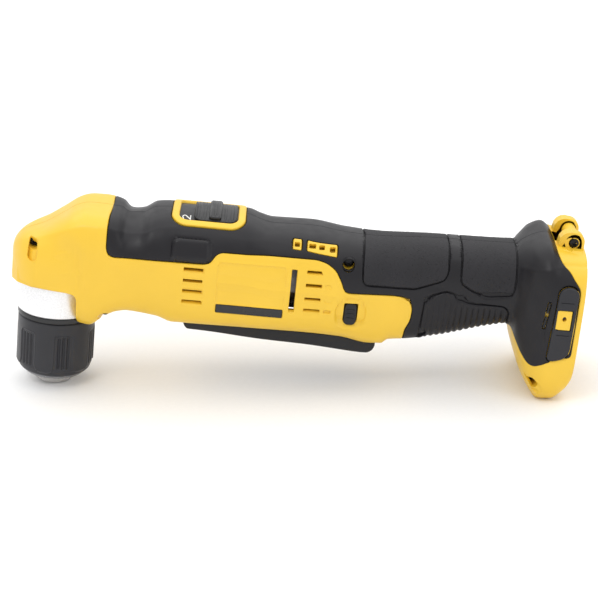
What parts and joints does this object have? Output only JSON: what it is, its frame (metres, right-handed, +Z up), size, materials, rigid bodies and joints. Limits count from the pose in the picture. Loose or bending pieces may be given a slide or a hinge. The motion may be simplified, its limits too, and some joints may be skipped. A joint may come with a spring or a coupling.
{
  "type": "right-angle cordless drill",
  "caption": "Right-angle cordless drill, bare tool: long yellow and black body, keyless chuck turned down at the head, paddle switch and battery base.",
  "frame": {"origin": "on the floor under the middle of the drill's bounding box, with the drill standing on its chuck nose and the foot of its battery base", "axes": "+X towards the battery base, +Y towards the drill's right side, +Z up; the drill leans back 5.5 degrees, so the chuck axis leans towards +X by 5.5 degrees"},
  "size_m": [0.2984, 0.0752, 0.0995],
  "materials": {
    "yellow_plastic": "moulded, fine satin",
    "grip_rubber": "soft matt overmould",
    "black_plastic": "satin",
    "paddle_plastic": "satin",
    "sleeve_plastic": "satin, ribbed",
    "black_screw": "black oxide",
    "bare_aluminium": "machined",
    "bright_steel": "ground",
    "dark_steel": "oiled",
    "graphite": "matt ceramic and graphite",
    "contact_copper": "plated",
    "red_insulation": "smooth",
    "black_insulation": "smooth",
    "lamp_lens": "clear"
  },
  "bodies": {
    "housing": {"battery_lead_black": "black_insulation", "battery_lead_red": "red_insulation", "body_screw": "black_screw", "brush_left": "graphite", "brush_right": "graphite", "chin_screw": "black_screw", "chuck_collar": "bare_aluminium", "ear_screw": "black_screw", "end_cap": "black_plastic", "foot_screw": "black_screw", "gear_case": "bare_aluminium", "grip_screw": "black_screw", "hang_bar": "yellow_plastic", "head_screw": "black_screw", "label_strip_left": "black_plastic", "label_strip_right": "black_plastic", "led_lens": "lamp_lens", "lower_bearing": "bright_steel", "magnet_lower": "graphite", "magnet_upper": "graphite", "motor_can": "dark_steel", "motor_lead_black": "black_insulation", "motor_lead_red": "red_insulation", "overmould_left": "grip_rubber", "overmould_right": "grip_rubber", "paddle_pin": "bright_steel", "paddle_spring": "bright_steel", "pinion_bearing": "bright_steel", "ring_gear": "dark_steel", "selector_bezel": "yellow_plastic", "shell_left": "yellow_plastic", "shell_right": "yellow_plastic", "side_pad_left": "grip_rubber", "side_pad_right": "grip_rubber", "switch_body": "black_plastic", "terminal_blade_1": "contact_copper", "terminal_blade_2": "contact_copper", "terminal_blade_3": "contact_copper", "terminal_block": "black_plastic", "upper_bearing": "bright_steel"},
    "spindle_assembly": {"spindle": "bright_steel", "bevel_gear": "dark_steel", "chuck_body": "bright_steel"},
    "sleeve": {"chuck_sleeve": "sleeve_plastic"},
    "jaw_a": {"jaw_1": "dark_steel"},
    "jaw_b": {"jaw_2": "dark_steel"},
    "jaw_c": {"jaw_3": "dark_steel"},
    "carrier": {"planet_carrier": "bright_steel", "bevel_pinion": "dark_steel"},
    "planet_a": {"planet_gear_1": "dark_steel"},
    "planet_b": {"planet_gear_2": "dark_steel"},
    "planet_c": {"planet_gear_3": "dark_steel"},
    "rotor": {"motor_shaft": "bright_steel", "fan": "black_plastic", "armature": "dark_steel", "sun_gear": "dark_steel"},
    "selector": {"selector_slider": "black_plastic", "shift_fork": "dark_steel"},
    "paddle_lever": {"paddle": "paddle_plastic"},
    "button": {"direction_button": "black_plastic"}
  },
  "joints": [
    {"name": "spindle_spin", "type": "hinge", "parent": "housing", "child": "spindle_assembly", "pos_m": [-0.12456, 0, 0.06063], "axis": [0.0958, 0, 0.9954], "continuous": true},
    {"name": "sleeve_turn", "type": "hinge", "parent": "spindle_assembly", "child": "sleeve", "pos_m": [-0.1282, 0, 0.02281], "axis": [0.0958, 0, 0.9954], "range_deg": [0, 1800]},
    {"name": "jaw_slide_1", "type": "slide", "parent": "spindle_assembly", "child": "jaw_a", "axis": [-0.3849, -0.171, -0.907], "range_m": [0, 0.014]},
    {"name": "jaw_slide_2", "type": "slide", "parent": "spindle_assembly", "child": "jaw_b", "axis": [0.2048, -0.171, -0.9638], "range_m": [0, 0.014]},
    {"name": "jaw_slide_3", "type": "slide", "parent": "spindle_assembly", "child": "jaw_c", "axis": [-0.0901, 0.342, -0.9354], "range_m": [0, 0.014]},
    {"name": "carrier_spin", "type": "hinge", "parent": "housing", "child": "carrier", "pos_m": [-0.08364, 0, 0.06825], "axis": [0.9954, 0, -0.0958], "continuous": true},
    {"name": "planet_spin_1", "type": "hinge", "parent": "carrier", "child": "planet_a", "pos_m": [-0.0677, 0, 0.07726], "axis": [0.9954, 0, -0.0958], "continuous": true},
    {"name": "planet_spin_2", "type": "hinge", "parent": "carrier", "child": "planet_b", "pos_m": [-0.06921, -0.00909, 0.06158], "axis": [0.9954, 0, -0.0958], "continuous": true},
    {"name": "planet_spin_3", "type": "hinge", "parent": "carrier", "child": "planet_c", "pos_m": [-0.06921, 0.00909, 0.06158], "axis": [0.9954, 0, -0.0958], "continuous": true},
    {"name": "motor_spin", "type": "hinge", "parent": "housing", "child": "rotor", "pos_m": [-0.02391, 0, 0.0625], "axis": [0.9954, 0, -0.0958], "continuous": true},
    {"name": "selector_slide", "type": "slide", "parent": "housing", "child": "selector", "axis": [-0.9954, 0, 0.0958], "range_m": [0, 0.007]},
    {"name": "paddle_press", "type": "hinge", "parent": "housing", "child": "paddle_lever", "pos_m": [-0.05232, 0, 0.04393], "axis": [0, -1, 0], "range_deg": [0, 2.2], "stiffness_Nm_per_rad": 5, "springref_deg": -1.72, "deforming": ["paddle_spring"]},
    {"name": "direction_slide", "type": "slide", "parent": "housing", "child": "button", "axis": [0, 1, 0], "range_m": [-0.003, 0.003]}
  ],
  "couplings": [
    {"joint": "jaw_slide_1", "follows": "sleeve_turn", "m_per_rad": 0.00044563},
    {"joint": "jaw_slide_2", "follows": "sleeve_turn", "m_per_rad": 0.00044563},
    {"joint": "jaw_slide_3", "follows": "sleeve_turn", "m_per_rad": 0.00044563},
    {"joint": "carrier_spin", "follows": "spindle_spin", "ratio": 2},
    {"joint": "planet_spin_1", "follows": "spindle_spin", "ratio": -5.3333},
    {"joint": "planet_spin_2", "follows": "spindle_spin", "ratio": -5.3333},
    {"joint": "planet_spin_3", "follows": "spindle_spin", "ratio": -5.3333},
    {"joint": "motor_spin", "follows": "spindle_spin", "ratio": 10}
  ]
}
